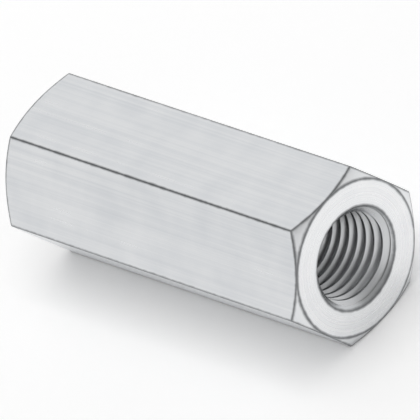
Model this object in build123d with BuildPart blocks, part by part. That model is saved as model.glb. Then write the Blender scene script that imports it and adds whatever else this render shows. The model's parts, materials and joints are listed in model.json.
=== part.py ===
"""Hexagon coupling nut, which joins two threaded rods end to end.

It is one piece: a length of cold-drawn hexagon bar, turned to a cone at both ends, then drilled,
countersunk and tapped right through. The bore stands at the crests of the thread.

Frame: X runs along the thread axis and Z is up. The nut lies on one of its flats. The origin is on the
axis, halfway along. Lengths are in millimetres and angles in degrees.
"""

import os
from math import radians, sqrt, tan

from build123d import *

# Hexagon bar
nut_length = 44.45  # 1 3/4 in
across_flats = 17.4625  # 11/16 in
corner_radius = 0.25  # left on the six long corners by the drawing die

# Turned ends
face_inset = 0.1  # how far the ring on each end stays inside the flats
chamfer_angle = 30  # from the end face to the cone
turning_overrun = 1.0  # how far the lathe's outline stands clear of the bar's corners

# Thread 7/16-20, a sixty-degree V with flat crests and roots
thread_diameter = 11.1125  # across the roots, 7/16 in
thread_pitch = 1.27  # twenty turns to the inch
thread_angle = 60  # between the two flanks
groove_depth_share = 5 / 8  # of the height of the sharp V
mouth_margin = 0.17  # how far the countersink's rim stands outside the roots
countersink_angle = 90  # across the cone

# Radii that follow from the sizes above
corner_distance = across_flats / sqrt(3)
face_radius = across_flats / 2 - face_inset
turning_radius = corner_distance + turning_overrun
sharp_v_height = thread_pitch / (2 * tan(radians(thread_angle / 2)))
bore_radius = thread_diameter / 2 - groove_depth_share * sharp_v_height
mouth_radius = thread_diameter / 2 + mouth_margin

# Stations along the axis
end_station = nut_length / 2
cone_station = end_station - (turning_radius - face_radius) * tan(radians(chamfer_angle))

with BuildPart() as coupling_nut:
    # The bar, with two of its flats level
    with BuildSketch(Plane.YZ) as bar_section:
        RegularPolygon(across_flats / 2, side_count=6, major_radius=False)
        fillet(bar_section.vertices(), radius=corner_radius)
    extrude(amount=nut_length / 2, both=True)

    # Facing and chamfering on the lathe: the cones leave a curved edge on every flat
    with BuildSketch(Plane.XY) as lathe_outline:
        with BuildLine():
            Polyline(
                (-end_station, 0),
                (-end_station, face_radius),
                (-cone_station, turning_radius),
                (cone_station, turning_radius),
                (end_station, face_radius),
                (end_station, 0),
                close=True,
            )
        make_face()
    revolve(axis=Axis.X, mode=Mode.INTERSECT)

    # The tapping bore, countersunk from both end faces
    end_faces = coupling_nut.faces().filter_by(Axis.X)
    with Locations(*[Plane(face) for face in end_faces]):
        CounterSinkHole(
            bore_radius,
            counter_sink_radius=mouth_radius,
            counter_sink_angle=countersink_angle,
        )

coupling_nut.part.label = "coupling_nut"
os.makedirs("parts", exist_ok=True)
export_step(coupling_nut.part, "parts/coupling_nut.step")
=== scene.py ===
"""Zinc-plated hexagon coupling nut, modelled on its CAD frame and lit on a white studio floor.

The nut is made the way the real one is: hexagon bar is drawn, its ends are turned to cones, it is drilled
and countersunk, and a tap then cuts the thread right through. Lengths are in metres.
"""

import json
from math import ceil, cos, pi, radians, sin, tan

import bmesh
import bpy
from bpy.props import FloatProperty, FloatVectorProperty, IntProperty, PointerProperty
from mathutils import Matrix, Vector


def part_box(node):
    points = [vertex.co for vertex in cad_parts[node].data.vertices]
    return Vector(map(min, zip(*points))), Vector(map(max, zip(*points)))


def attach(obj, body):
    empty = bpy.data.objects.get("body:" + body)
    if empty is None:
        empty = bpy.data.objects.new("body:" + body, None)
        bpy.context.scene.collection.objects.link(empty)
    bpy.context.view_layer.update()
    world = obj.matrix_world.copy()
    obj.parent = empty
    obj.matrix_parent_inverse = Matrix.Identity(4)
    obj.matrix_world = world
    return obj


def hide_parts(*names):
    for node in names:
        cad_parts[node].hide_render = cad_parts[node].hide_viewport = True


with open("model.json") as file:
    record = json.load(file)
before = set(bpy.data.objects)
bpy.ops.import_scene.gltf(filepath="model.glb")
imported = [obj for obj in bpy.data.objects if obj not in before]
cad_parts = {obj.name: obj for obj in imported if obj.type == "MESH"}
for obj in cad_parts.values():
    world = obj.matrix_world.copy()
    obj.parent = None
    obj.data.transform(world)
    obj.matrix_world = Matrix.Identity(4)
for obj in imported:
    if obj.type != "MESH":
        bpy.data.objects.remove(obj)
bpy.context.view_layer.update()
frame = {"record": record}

bl_info = {
    "name": "Coupling nut",
    "version": (1, 0, 0),
    "blender": (4, 5, 0),
    "location": "View3D > Sidebar > Coupling nut",
    "description": "Models a zinc-plated hexagon coupling nut and the white studio it is seen in",
    "category": "Add Mesh",
}

NODE = "coupling_nut"
BODY = "root"
PIECE = "plated_nut"
MM = 0.001  # a millimetre in metres
NUT_LOW, NUT_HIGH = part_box(NODE)
BORE_RADIUS = frame["record"]["mounts"][0]["dims"]["r_mm"] * MM
BAR_SIDES = 6
TURNED_METAL, THREAD_METAL = 1, 2  # places in the nut's list of metals, after the drawn flats
SELECT_MODES = {"verts": "VERT", "edges": "EDGE", "faces": "FACE"}
SMOOTH_ANGLE = radians(32)  # a steeper edge stays sharp
FLAT_WEIGHT = 80  # how far large faces win over small ones in the shading, where 50 is even


# Settings

def length_setting(name, description, default):
    """A length in the scene's unit."""
    return FloatProperty(name=name, description=description, default=default, unit="LENGTH", precision=6)


def angle_setting(name, description, degrees):
    """An angle, shown in degrees."""
    return FloatProperty(name=name, description=description, default=radians(degrees), subtype="ANGLE")


def colour_setting(name, description, default):
    """A linear colour."""
    return FloatVectorProperty(
        name=name, description=description, default=default, subtype="COLOR", size=3, min=0, max=1
    )


def share_setting(name, description, default):
    """A share from nothing to all."""
    return FloatProperty(
        name=name, description=description, default=default, subtype="FACTOR", min=0, max=1
    )


def number_setting(name, description, default):
    """A plain number, zero or more."""
    return FloatProperty(name=name, description=description, default=default, min=0)


def count_setting(name, description, default):
    """A whole number, two or more."""
    return IntProperty(name=name, description=description, default=default, min=2)


class NutSizes(bpy.types.PropertyGroup):
    """Sizes of the nut."""

    length: length_setting("Length", "From end face to end face", NUT_HIGH.x - NUT_LOW.x)
    across_flats: length_setting("Across flats", "Width of the hexagon bar", NUT_HIGH.z - NUT_LOW.z)
    corner_radius: length_setting("Corner radius", "Rounding of the bar's long corners", 0.25 * MM)
    face_inset: length_setting("Face inset", "How far the end ring stays inside the flats", 0.1 * MM)
    chamfer_angle: angle_setting("Chamfer angle", "From the end face to the cone", 30)
    rim_break: length_setting("Rim break", "Rounding of the curved edge between flat and cone", 0.045 * MM)
    ring_break: length_setting("Ring break", "Rounding of the end ring's two edges", 0.035 * MM)
    thread_diameter: length_setting("Thread diameter", "Across the roots of the thread", 11.1125 * MM)
    thread_pitch: length_setting("Thread pitch", "From one turn to the next", 1.27 * MM)
    thread_angle: angle_setting("Thread angle", "Between the two flanks", 60)
    thread_start: angle_setting("Thread start", "How far the thread is turned, from +Y to +Z", 100)
    crest_round: length_setting("Crest round", "Rounding of the thread's crests and roots", 0.05 * MM)
    mouth_margin: length_setting("Mouth margin", "How far the mouth stands outside the roots", 0.17 * MM)
    countersink_angle: angle_setting("Countersink angle", "Across the cone", 90)
    flat_strips: count_setting("Flat strips", "Strips across each flat", 22)
    corner_strips: count_setting("Corner strips", "Strips round each corner", 6)
    break_strips: count_setting("Break strips", "Strips across each broken edge", 3)
    thread_steps: count_setting("Thread steps", "Steps in a turn of the thread", 128)


class NutFinish(bpy.types.PropertyGroup):
    """Colours, gloss and tool marks of the plated steel."""

    zinc: colour_setting("Zinc", "Clean bright plating", (0.83, 0.84, 0.85))
    haze: colour_setting("Haze", "Faintly blue haze, in patches and along tool marks", (0.70, 0.72, 0.745))
    faced: colour_setting("Faced", "Bright end ring", (0.88, 0.885, 0.89))
    # Coned: painted shade that keeps the cones a little darker than the ring; partly a duller cut
    coned: colour_setting("Coned", "Turned cones, a little duller than the ring", (0.80, 0.81, 0.82))
    # Edge: painted shade, a dark grey line along every edge in place of dark edge reflections; partly dull
    # plating grown thick there
    edge: colour_setting("Edge", "Dull grey plating, grown thick along the edges", (0.22, 0.226, 0.232))
    thread: colour_setting("Thread", "Countersinks, thread crests and flanks", (0.63, 0.64, 0.65))
    # Root: painted shade in the thread's roots, partly thinner plating there
    root: colour_setting("Root", "Roots of the thread, where the plating is thin", (0.45, 0.457, 0.464))
    end_haze: share_setting("End haze", "How much of the haze the turned ends take", 0.6)
    flat_roughness: share_setting("Flat roughness", "Of the drawn flats", 0.30)
    end_roughness: share_setting("End roughness", "Of the turned ends", 0.28)
    thread_roughness: share_setting("Thread roughness", "Of the cut thread", 0.30)
    line_swing: share_setting("Line swing", "How far the roughness swings from line to line", 0.06)
    cone_dulling: share_setting("Cone dulling", "How much rougher the cones are than the ring", 0.06)
    edge_dulling: share_setting("Edge dulling", "How much rougher edges and thread roots are", 0.1)
    # How far the painted edge shade reaches in from an edge
    edge_width: length_setting("Edge width", "How far the dull plating reaches in from an edge", 0.3 * MM)
    # How far the painted root shade reaches up the flanks
    root_shade_reach: length_setting("Root reach", "How far the thin plating reaches up the flanks", 0.15 * MM)
    draw_lines: length_setting("Draw lines", "Depth of the lines along the flats", 0.003 * MM)
    tool_lines: length_setting("Tool lines", "Depth of the rings on the turned ends", 0.003 * MM)
    tap_lines: length_setting("Tap lines", "Depth of the lines along the thread", 0.002 * MM)


class StageSettings(bpy.types.PropertyGroup):
    """Floor, lamps and camera."""

    floor_colour: colour_setting("Floor colour", "White paper", (0.92, 0.92, 0.92))
    floor_reach: length_setting("Floor reach", "Half the floor's width", 2.0)
    floor_glow: share_setting("Floor glow", "White that camera and reflections see on the floor", 0.39)
    contact_shade: length_setting("Contact shade", "How far from the nut that glow is dimmed", 7 * MM)
    walls: colour_setting("Walls", "Light from the studio's walls", (0.86, 0.86, 0.86))
    wall_top: share_setting("Wall top", "Sine of the elevation at which the walls begin to darken", 0.2)
    ceiling: colour_setting("Ceiling", "Light from the studio's ceiling", (0.32, 0.32, 0.32))
    ceiling_foot: share_setting("Ceiling foot", "Sine of the elevation at which the ceiling begins", 0.55)
    overhead: number_setting("Overhead", "Brightness of the panel above the nut", 0.62)
    overhead_width: length_setting("Overhead width", "Across the panel above the nut", 1.1)
    overhead_distance: length_setting("Overhead distance", "From the nut to the panel above it", 0.8)
    backlight: number_setting("Backlight", "Brightness of the panel that the top flat mirrors", 0.52)
    backlight_width: length_setting("Backlight width", "Across the panel that the top flat mirrors", 0.5)
    backlight_distance: length_setting("Backlight distance", "From the nut to that panel", 0.55)
    azimuth: angle_setting("Azimuth", "Of the camera, from -Y towards +X", 59.586)
    elevation: angle_setting("Elevation", "Of the camera above the floor", 37.911)
    roll: angle_setting("Roll", "How far the camera is turned about its line of sight", -27.73)
    distance: length_setting("Distance", "From the camera to the nut", 1.85276)
    aim_right: length_setting("Aim right", "How far right of the nut's centre the camera looks", 0.096 * MM)
    aim_down: length_setting("Aim down", "How far below the nut's centre the camera looks", 0.113 * MM)
    lens: number_setting("Lens", "Focal length in millimetres", 1500)


# Modelling by selection

def start_piece(name):
    """Names the primitive that was just added, fixes its place in its mesh and opens it for editing."""
    piece = bpy.context.object
    piece.name = name
    piece.data.name = name
    bpy.ops.object.transform_apply(location=True, rotation=True, scale=True)
    bpy.ops.object.mode_set(mode="EDIT")
    bpy.ops.mesh.select_mode(type="VERT")
    return piece


def radius_of(point):
    """Distance from the thread axis."""
    return point.yz.length


def pick(piece, kind, wanted):
    """In edit mode, selects just the vertices, edges or faces that pass a test."""
    bpy.ops.mesh.select_mode(type=SELECT_MODES[kind])
    bpy.ops.mesh.select_all(action="DESELECT")
    mesh = bmesh.from_edit_mesh(piece.data)
    for part in getattr(mesh, kind):
        if wanted(part):
            part.select_set(True)
    bmesh.update_edit_mesh(piece.data)


def place_selected(piece, place):
    """Moves each selected vertex to where a rule puts it."""
    mesh = bmesh.from_edit_mesh(piece.data)
    for vert in mesh.verts:
        if vert.select:
            vert.co = place(vert.co)
    bmesh.update_edit_mesh(piece.data)


def face_outwards():
    """In edit mode, turns every face of a closed shell outwards."""
    bpy.ops.mesh.select_all(action="SELECT")
    bpy.ops.mesh.normals_make_consistent(inside=False)


def apply_modifier(piece, name, kind, **settings):
    """Adds a modifier with these settings and applies it."""
    modifier = piece.modifiers.new(name, kind)
    for key, value in settings.items():
        setattr(modifier, key, value)
    bpy.context.view_layer.objects.active = piece
    bpy.ops.object.modifier_apply(modifier=name)


def give_metal(piece, metals, number, wanted):
    """In edit mode, hands a piece its list of metals, and one of them to the faces that pass a test."""
    for metal in metals[len(piece.data.materials):]:
        piece.data.materials.append(metal)
    pick(piece, "faces", wanted)
    piece.active_material_index = number
    bpy.ops.object.material_slot_assign()


class NutForm:
    """The radii and stations that follow from the nut's sizes, and where its edges lie."""

    touch = 0.002 * MM  # how near a vertex has to lie to the place where it is looked for
    slant = sin(radians(15))  # least share of a turned face's normal that runs along the axis

    def __init__(self, sizes):
        self.end = sizes.length / 2
        self.flat = sizes.across_flats / 2
        self.corner = self.flat / cos(pi / BAR_SIDES)
        self.half_side = self.corner / 2
        self.face = self.flat - sizes.face_inset
        self.slope = tan(sizes.chamfer_angle)
        self.root = sizes.thread_diameter / 2
        self.crest = BORE_RADIUS
        self.drill = self.crest - sizes.crest_round
        self.mouth = self.root + sizes.mouth_margin
        self.throat = self.end - (self.mouth - self.drill) / tan(sizes.countersink_angle / 2)
        self.turns = 2 * ceil(self.end / sizes.thread_pitch) + 2  # one to spare past each end

    def cone_station(self, radius):
        """How far from mid-length the turned cone lies at this radius."""
        return self.end - (radius - self.face) * self.slope

    def on_cone(self, point):
        """True where the turned cone passes."""
        return abs(abs(point.x) - self.cone_station(radius_of(point))) < self.touch

    def on_end(self, point):
        """True on the planes of the two end faces."""
        return abs(abs(point.x) - self.end) < self.touch

    def is_rim(self, edge):
        """True on the curved edges where the flats run out into the cones."""
        first, second = (vert.co for vert in edge.verts)
        outside = min(radius_of(first), radius_of(second)) > self.flat - self.touch
        return outside and first.x * second.x > 0 and self.on_cone(first) and self.on_cone(second)

    def is_ring_edge(self, edge):
        """True on the end ring's outer and inner circles."""
        first, second = (vert.co for vert in edge.verts)
        level = abs(radius_of(first) - radius_of(second)) < self.touch
        return level and self.on_end(first) and self.on_end(second)

    def is_turned(self, face):
        """True on the cones, the end rings and the countersinks, which all face partly along the axis."""
        return abs(face.normal.x) > self.slant


def draw_bar(sizes, form):
    """Hexagon bar with rounded corners, open at both ends."""
    corner_cut = sizes.corner_radius * tan(pi / BAR_SIDES)  # how far from a corner its rounding starts
    bpy.ops.mesh.primitive_circle_add(
        vertices=BAR_SIDES,
        radius=form.corner,
        fill_type="NGON",
        location=(-form.end, 0, 0),
        rotation=(0, pi / 2, 0),
    )
    bar = start_piece(PIECE)
    bpy.ops.mesh.select_all(action="SELECT")
    bpy.ops.mesh.bevel(
        offset_type="OFFSET", offset=corner_cut, segments=sizes.corner_strips, affect="VERTICES"
    )
    bpy.ops.mesh.delete(type="ONLY_FACE")
    pick(bar, "edges", lambda edge: edge.calc_length() > form.half_side)
    bpy.ops.mesh.subdivide(number_cuts=sizes.flat_strips - 1)
    bpy.ops.mesh.select_all(action="SELECT")
    bpy.ops.mesh.extrude_edges_move(TRANSFORM_OT_translate={"value": (sizes.length, 0, 0)})
    return bar


def turn_end(bar, form, side):
    """Cone, ring and countersink at one end, each drawn in from the edge before it."""
    pick(bar, "edges", lambda edge: all(vert.co.x * side > form.end - form.touch for vert in edge.verts))
    place_selected(bar, lambda co: Vector((side * form.cone_station(radius_of(co)), co.y, co.z)))
    for station, radius in ((form.end, form.face), (form.end, form.mouth), (form.throat, form.drill)):
        bpy.ops.mesh.extrude_edges_move()
        place_selected(bar, lambda co: Vector((side * station, *(co.yz.normalized() * radius))))


def drill_through(bar):
    """The bore, from one throat to the other."""
    pick(bar, "edges", lambda edge: edge.is_boundary)
    bpy.ops.mesh.bridge_edge_loops()
    face_outwards()


def break_edges(bar, sizes, form):
    """Small roundings, as tumbling in the plating barrel leaves, on the rings and the ends of the flats."""
    for wanted, width in ((form.is_ring_edge, sizes.ring_break), (form.is_rim, sizes.rim_break)):
        pick(bar, "edges", wanted)
        bpy.ops.mesh.bevel(offset_type="OFFSET", offset=width, segments=sizes.break_strips)


def draw_groove(sizes, form):
    """The start of the tap: the outline of one groove, from crest to crest, behind the bar's rear end."""
    pitch = sizes.thread_pitch
    half_crest = pitch / 8  # the flat crest of an inside thread is a quarter of the pitch
    depth = form.root - form.crest
    flank = depth * tan(sizes.thread_angle / 2)
    root_flat = pitch - 2 * half_crest - 2 * flank
    start = -(form.turns + sizes.thread_start / pi) * pitch / 2
    bpy.ops.mesh.primitive_plane_add(size=pitch, location=(start, form.crest, 0))
    tap = start_piece("tap")
    bpy.ops.mesh.select_all(action="SELECT")
    bpy.ops.mesh.merge(type="CENTER")
    for along, out in ((half_crest, 0), (flank, depth), (root_flat, 0), (flank, -depth), (half_crest, 0)):
        bpy.ops.mesh.extrude_vertices_move(TRANSFORM_OT_translate={"value": (along, out, 0)})
    pick(tap, "verts", lambda vert: len(vert.link_edges) == 2)
    bpy.ops.mesh.bevel(
        offset_type="OFFSET", offset=sizes.crest_round, segments=sizes.break_strips, affect="VERTICES"
    )
    bpy.ops.object.mode_set(mode="OBJECT")
    return tap


def wind_tap(tap, sizes, form):
    """Winds the groove along the axis, closes both ends of the tap and leaves it open for editing."""
    apply_modifier(
        tap,
        "winding",
        "SCREW",
        axis="X",
        screw_offset=sizes.thread_pitch,
        steps=sizes.thread_steps,
        render_steps=sizes.thread_steps,
        iterations=form.turns,
    )
    bpy.ops.object.mode_set(mode="EDIT")
    bpy.ops.mesh.select_all(action="SELECT")
    bpy.ops.mesh.remove_doubles(threshold=form.touch / 2)
    for side in (-1, 1):
        pick(tap, "edges", lambda edge: edge.is_boundary and edge.verts[0].co.x * side > 0)
        bpy.ops.mesh.extrude_edges_move()
        bpy.ops.mesh.merge(type="CENTER")
    face_outwards()


def cut_with_tap(bar, tap):
    """Takes the tap's form out of the bar, and stops if that leaves the bar open or without a thread."""
    apply_modifier(bar, "thread", "BOOLEAN", operation="DIFFERENCE", solver="MANIFOLD", object=tap)
    bpy.data.meshes.remove(tap.data)
    cut = bmesh.new()
    cut.from_mesh(bar.data)
    whole = all(edge.is_manifold for edge in cut.edges)
    threaded = any(face.material_index == THREAD_METAL for face in cut.faces)
    cut.free()
    if not (whole and threaded):
        raise RuntimeError("the tap did not cut a clean thread")


def shade(piece):
    """Smooth shading that keeps the flats flat and the thread's run-out sharp."""
    bpy.ops.object.shade_smooth_by_angle(angle=SMOOTH_ANGLE)
    apply_modifier(piece, "flat_faces", "WEIGHTED_NORMAL", keep_sharp=True, weight=FLAT_WEIGHT)


# Shading

class Value:
    """A socket that can be used in sums, each of which adds a Math node."""

    def __init__(self, nodes, socket):
        self.nodes = nodes
        self.socket = socket

    def also(self, output):
        """Another output of the same node."""
        return Value(self.nodes, self.socket.node.outputs[output])

    def math(self, operation, other=0.0):
        """A Math node on this value, and on another where the operation takes two."""
        return self.nodes.add("ShaderNodeMath", {"operation": operation}, {0: self, 1: other})

    def __add__(self, other):
        return self.math("ADD", other)

    def __sub__(self, other):
        return self.math("SUBTRACT", other)

    def __rsub__(self, other):
        return self * -1 + other

    def __mul__(self, other):
        return self.math("MULTIPLY", other)

    __radd__ = __add__
    __rmul__ = __mul__

    def step(self, zero_at, one_at):
        """A smooth step from 0 at one value to 1 at another, whichever of the two is the greater."""
        if zero_at > one_at:
            return 1 - self.step(zero_at=one_at, one_at=zero_at)
        inputs = {"Value": self, "From Min": zero_at, "From Max": one_at}
        return self.nodes.add("ShaderNodeMapRange", {"interpolation_type": "SMOOTHSTEP"}, inputs)

    def swing(self, reach):
        """Noise from 0 to 1 turned into a swing of so much to either side of 0."""
        return (self - 0.5) * (2 * reach)


class Nodes:
    """The nodes of a material or a world."""

    def __init__(self, tree):
        self.tree = tree
        tree.nodes.clear()

    def add(self, kind, settings=None, inputs=None, output=0):
        """A new node: its settings, then the values or links of its sockets. Returns one of its outputs."""
        node = self.tree.nodes.new(kind)
        for key, value in (settings or {}).items():
            setattr(node, key, value)
        for key, value in (inputs or {}).items():
            if isinstance(value, Value):
                self.tree.links.new(value.socket, node.inputs[key])
            else:
                node.inputs[key].default_value = value
        return Value(self, node.outputs[output]) if node.outputs else None

    def noise(self, place, per_mm, detail=2.0):
        """Cloudy noise from 0 to 1, with so many features to a millimetre."""
        inputs = {"Vector": place, "Scale": per_mm, "Detail": detail}
        return self.add("ShaderNodeTexNoise", inputs=inputs, output="Fac")

    def lines(self, distance, per_mm, detail=2.0):
        """Uneven lines across a distance, so many to a millimetre."""
        inputs = {"W": distance, "Scale": per_mm, "Detail": detail}
        return self.add("ShaderNodeTexNoise", {"noise_dimensions": "1D"}, inputs, output="Fac")

    def blend(self, share, first, second):
        """A colour between two, which are given as colours or as links."""
        factor, colours, result = 0, (6, 7), 2  # the places of a Mix node's sockets for colours
        inputs = {factor: share}
        for place, colour in zip(colours, (first, second)):
            inputs[place] = colour if isinstance(colour, Value) else (*colour, 1)
        return self.add("ShaderNodeMix", {"data_type": "RGBA"}, inputs, output=result)


def new_material(name):
    """A material and its empty nodes."""
    material = bpy.data.materials.new(name)
    material.use_nodes = True
    return material, Nodes(material.node_tree)


class Metal:
    """A metal of the nut: its nodes, and where on the nut a point lies, in millimetres.

    along is measured from mid-length, out from the axis, and square_out from the axis too, but at right
    angles to the nearest flat.
    """

    def __init__(self, name):
        self.material, self.nodes = new_material(name)
        metres = self.nodes.add("ShaderNodeTexCoord", output="Object")
        inputs = {0: metres, "Scale": 1 / MM}
        self.place = self.nodes.add("ShaderNodeVectorMath", {"operation": "SCALE"}, inputs)
        along = self.nodes.add("ShaderNodeSeparateXYZ", inputs={0: self.place}, output="X")
        across = along.also("Y").math("ABSOLUTE")
        up = along.also("Z").math("ABSOLUTE")
        self.along = along.math("ABSOLUTE")
        self.out = (across * across + up * up).math("SQRT")
        slanting = across * cos(pi / BAR_SIDES) + up * sin(pi / BAR_SIDES)
        self.square_out = up.math("MAXIMUM", slanting)

    def drawn_out(self, times):
        """The place on a bar so many times shorter, which draws a pattern out along the length."""
        shares = (1 / times, 1, 1)
        return self.nodes.add("ShaderNodeVectorMath", {"operation": "MULTIPLY"}, {0: self.place, 1: shares})

    def edge(self, finish, *distances):
        """1 on the nearest of some edges, fading unevenly to 0 a little way from it: where the edges get
        their painted shade and their dulling.
        """
        width = finish.edge_width / MM
        wander = width / 3  # how far the band's border strays
        nearest = distances[0]
        for distance in distances[1:]:
            nearest = nearest.math("MINIMUM", distance)
        uneven = self.nodes.noise(self.place, per_mm=1.2, detail=4)
        return (nearest + uneven.swing(reach=wander)).step(zero_at=width, one_at=0)

    def finish(self, colour, roughness, height, relief):
        """Joins the colour, the roughness and a relief so many metres deep into metal."""
        normal = self.nodes.add("ShaderNodeBump", inputs={"Height": height, "Distance": relief})
        surface = self.nodes.add(
            "ShaderNodeBsdfPrincipled",
            inputs={"Base Color": colour, "Metallic": 1.0, "Roughness": roughness, "Normal": normal},
        )
        self.nodes.add("ShaderNodeOutputMaterial", inputs={"Surface": surface})
        return self.material


def drawn_flats(finish, form):
    """Cold-drawn bar under zinc: fine lines along the length, hazy plating, and painted shade darkening the
    edges, partly dull plating.
    """
    metal = Metal("drawn_flats")
    nodes = metal.nodes
    fine = nodes.noise(metal.drawn_out(times=250), per_mm=5)
    broad = nodes.noise(metal.drawn_out(times=100), per_mm=1.7)
    haze = nodes.noise(metal.place, per_mm=0.22, detail=4)
    grain = nodes.noise(metal.place, per_mm=7)
    sideways = (metal.out * metal.out - metal.square_out * metal.square_out).math("SQRT")
    to_corner = form.half_side / MM - sideways
    to_rim = form.end / MM - (metal.out - form.face / MM) * form.slope - metal.along
    edge = metal.edge(finish, to_corner, to_rim)
    dull = (haze * 0.45 + broad * 0.45 + fine * 0.3).step(zero_at=0.35, one_at=0.85)
    colour = nodes.blend(dull, finish.zinc, finish.haze)
    # Painted shade: the edges darken to a dark grey line, partly dull plating
    colour = nodes.blend(edge, colour, finish.edge)
    uneven = broad.swing(reach=finish.line_swing) + haze.swing(reach=0.03)
    roughness = finish.flat_roughness + uneven + edge * finish.edge_dulling
    height = fine * 0.56 + broad * 0.4 + grain * 0.04
    return metal.finish(colour, roughness, height, finish.draw_lines)


def turned_ends(finish, form):
    """Faced ring, cones and countersinks: rings left by the tool, the cones painted a shade darker than the
    ring, partly a duller cut, and painted shade darkening the edges.
    """
    metal = Metal("turned_ends")
    nodes = metal.nodes
    fine = nodes.lines(metal.out, per_mm=5)
    broad = nodes.lines(metal.out, per_mm=1.6)
    haze = nodes.noise(metal.place, per_mm=0.35, detail=4)
    beyond_ring = metal.out - form.face / MM
    beyond_mouth = metal.out - form.mouth / MM
    to_flat = form.flat / MM - metal.square_out
    edge = metal.edge(finish, to_flat, beyond_ring.math("ABSOLUTE"), beyond_mouth.math("ABSOLUTE"))
    coned = beyond_ring.math("GREATER_THAN", 0)
    sunk = beyond_mouth.math("LESS_THAN", 0)
    dull = (haze * 0.4 + broad * 0.4 + fine * 0.4).step(zero_at=0.4, one_at=0.9)
    # Painted shade: the cones a little darker than the ring, partly a duller cut
    colour = nodes.blend(coned, finish.faced, finish.coned)
    colour = nodes.blend(sunk, colour, finish.thread)
    colour = nodes.blend(dull * finish.end_haze, colour, finish.haze)
    # Painted shade: the ring's circles and the edges by the flats darken to a dark grey line, partly dull
    # plating
    colour = nodes.blend(edge, colour, finish.edge)
    uneven = broad.swing(reach=finish.line_swing)
    roughness = finish.end_roughness + uneven + coned * finish.cone_dulling + edge * finish.edge_dulling
    height = fine * 0.6 + broad * 0.4
    return metal.finish(colour, roughness, height, finish.tool_lines)


def cut_thread(finish, form):
    """Tapped thread: lines along the turns, and painted shade darkening towards the roots, partly thinner
    plating.
    """
    metal = Metal("cut_thread")
    nodes = metal.nodes
    fine = nodes.lines(metal.out, per_mm=12)
    haze = nodes.noise(metal.place, per_mm=0.8, detail=3)
    # Painted shade: darker towards the roots, partly thinner plating
    root = metal.out.step(zero_at=(form.root - finish.root_shade_reach) / MM, one_at=form.root / MM)
    root_shade = (root * 0.9 + haze.swing(reach=0.1)).step(zero_at=0, one_at=1)
    colour = nodes.blend(root_shade, finish.thread, finish.root)
    roughness = finish.thread_roughness + haze.swing(reach=0.05) + root * finish.edge_dulling
    return metal.finish(colour, roughness, fine, finish.tap_lines)


def white_paper(stage):
    """Paper that takes shadows, whitened for camera and reflections by a glow that dims round the nut."""
    material, nodes = new_material("white_paper")
    camera = nodes.add("ShaderNodeLightPath", output="Is Camera Ray")
    seen = camera + camera.also("Is Glossy Ray") + camera.also("Is Transmission Ray")
    clear = nodes.add("ShaderNodeAmbientOcclusion", inputs={"Distance": stage.contact_shade}, output="AO")
    paper = nodes.add("ShaderNodeBsdfDiffuse", inputs={"Color": (*stage.floor_colour, 1)})
    glow = nodes.add("ShaderNodeEmission")
    glowing = nodes.add("ShaderNodeAddShader", inputs={0: paper, 1: glow})
    share = seen * clear * stage.floor_glow
    surface = nodes.add("ShaderNodeMixShader", inputs={0: share, 1: paper, 2: glowing})
    nodes.add("ShaderNodeOutputMaterial", inputs={"Surface": surface})
    return material


# Operators

class COUPLING_NUT_OT_make_nut(bpy.types.Operator):
    """Model the threaded nut and plate it"""

    bl_idname = "coupling_nut.make_nut"
    bl_label = "Make nut"

    def execute(self, context):
        sizes = context.scene.nut_sizes
        finish = context.scene.nut_finish
        form = NutForm(sizes)
        metals = (drawn_flats(finish, form), turned_ends(finish, form), cut_thread(finish, form))
        bpy.ops.object.select_all(action="DESELECT")
        nut = draw_bar(sizes, form)
        for side in (-1, 1):
            turn_end(nut, form, side)
        drill_through(nut)
        break_edges(nut, sizes, form)
        give_metal(nut, metals, TURNED_METAL, form.is_turned)
        bpy.ops.object.mode_set(mode="OBJECT")
        bpy.ops.object.select_all(action="DESELECT")
        tap = draw_groove(sizes, form)
        wind_tap(tap, sizes, form)
        give_metal(tap, metals, THREAD_METAL, lambda face: True)
        bpy.ops.object.mode_set(mode="OBJECT")
        bpy.ops.object.select_all(action="DESELECT")
        nut.select_set(True)
        context.view_layer.objects.active = nut
        cut_with_tap(nut, tap)
        shade(nut)
        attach(nut, BODY)
        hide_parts(NODE)
        return {"FINISHED"}


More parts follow.
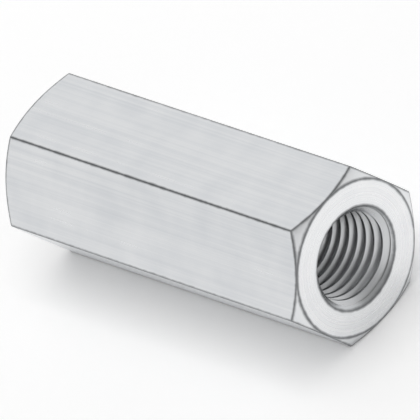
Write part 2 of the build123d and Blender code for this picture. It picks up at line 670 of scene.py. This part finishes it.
class COUPLING_NUT_OT_make_stage(bpy.types.Operator):
    """Lay the floor, hang the lamps and set up the camera"""

    bl_idname = "coupling_nut.make_stage"
    bl_label = "Make stage"

    def execute(self, context):
        scene = context.scene
        stage = scene.nut_stage
        # Directions from the nut: to the camera's right before its roll, back to the camera, straight up,
        # and to what the camera sees mirrored in the top flat
        level = Vector((cos(stage.azimuth), sin(stage.azimuth), 0))
        back = Vector((sin(stage.azimuth), -cos(stage.azimuth), tan(stage.elevation))).normalized()
        zenith = Vector((0, 0, 1))
        mirrored = -back.reflect(zenith)
        bpy.ops.object.select_all(action="DESELECT")
        self.lay_floor(stage)
        self.light_walls(scene, stage)
        self.hang_lamp("overhead", zenith, stage.overhead_distance, stage.overhead_width, stage.overhead)
        self.hang_lamp(
            "backlight", mirrored, stage.backlight_distance, stage.backlight_width, stage.backlight
        )
        self.set_camera(scene, stage, level, back)
        scene.view_settings.view_transform = "Standard"
        return {"FINISHED"}

    def lay_floor(self, stage):
        """White paper under the nut."""
        bpy.ops.mesh.primitive_plane_add(size=2 * stage.floor_reach, location=(0, 0, NUT_LOW.z))
        floor = bpy.context.object
        floor.name = "floor"
        floor.data.materials.append(white_paper(stage))

    def light_walls(self, scene, stage):
        """Even light from the walls, which fades to that of the ceiling."""
        scene.world = bpy.data.worlds.new("studio")
        scene.world.use_nodes = True
        nodes = Nodes(scene.world.node_tree)
        direction = nodes.add("ShaderNodeTexCoord", output="Generated")
        height = nodes.add("ShaderNodeSeparateXYZ", inputs={0: direction}, output="Z")
        overhead = height.step(zero_at=stage.wall_top, one_at=stage.ceiling_foot)
        colour = nodes.blend(overhead, stage.walls, stage.ceiling)
        light = nodes.add("ShaderNodeBackground", inputs={"Color": colour})
        nodes.add("ShaderNodeOutputWorld", inputs={"Surface": light})

    def hang_lamp(self, name, towards, distance, width, brightness):
        """A round panel of light that faces the nut. A wider one gives more light but looks no brighter."""
        area = pi * width**2 / 4
        bpy.ops.object.light_add(type="AREA", location=towards.normalized() * distance)
        lamp = bpy.context.object
        lamp.name = name
        lamp.rotation_mode = "QUATERNION"
        lamp.rotation_quaternion = towards.to_track_quat("Z", "Y")
        lamp.data.shape = "DISK"
        lamp.data.size = width
        lamp.data.energy = brightness * pi * area
        lamp.visible_camera = False

    def set_camera(self, scene, stage, level, back):
        """A long lens, rolled about its line of sight, so that the nut seems to lie aslant."""
        up = back.cross(level)
        right = level * cos(stage.roll) + up * sin(stage.roll)
        above = back.cross(right)
        bpy.ops.object.camera_add()
        camera = bpy.context.object
        camera.name = "camera"
        camera.matrix_world = Matrix((right, above, back)).transposed().to_4x4()
        camera.location = right * stage.aim_right - above * stage.aim_down + back * stage.distance
        camera.data.lens = stage.lens
        camera.data.clip_end = 2 * stage.distance
        scene.camera = camera


class COUPLING_NUT_PT_panel(bpy.types.Panel):
    """The nut's settings and operators"""

    bl_idname = "COUPLING_NUT_PT_panel"
    bl_label = "Coupling nut"
    bl_space_type = "VIEW_3D"
    bl_region_type = "UI"
    bl_category = "Coupling nut"

    def draw(self, context):
        for name, group in SETTINGS.items():
            settings = getattr(context.scene, name)
            box = self.layout.box()
            box.label(text=group.__doc__)
            for setting in group.__annotations__:
                box.prop(settings, setting)
        self.layout.operator(COUPLING_NUT_OT_make_nut.bl_idname)
        self.layout.operator(COUPLING_NUT_OT_make_stage.bl_idname)


SETTINGS = {"nut_sizes": NutSizes, "nut_finish": NutFinish, "nut_stage": StageSettings}
CLASSES = (*SETTINGS.values(), COUPLING_NUT_OT_make_nut, COUPLING_NUT_OT_make_stage, COUPLING_NUT_PT_panel)


def register():
    """Adds the add-on's classes and settings."""
    for cls in CLASSES:
        bpy.utils.register_class(cls)
    for name, group in SETTINGS.items():
        setattr(bpy.types.Scene, name, PointerProperty(type=group))


def unregister():
    """Takes them out again."""
    for name in SETTINGS:
        delattr(bpy.types.Scene, name)
    for cls in reversed(CLASSES):
        bpy.utils.unregister_class(cls)


def main():
    """Makes the nut and its stage."""
    register()
    bpy.ops.coupling_nut.make_nut()
    bpy.ops.coupling_nut.make_stage()


if __name__ == "__main__":
    main()
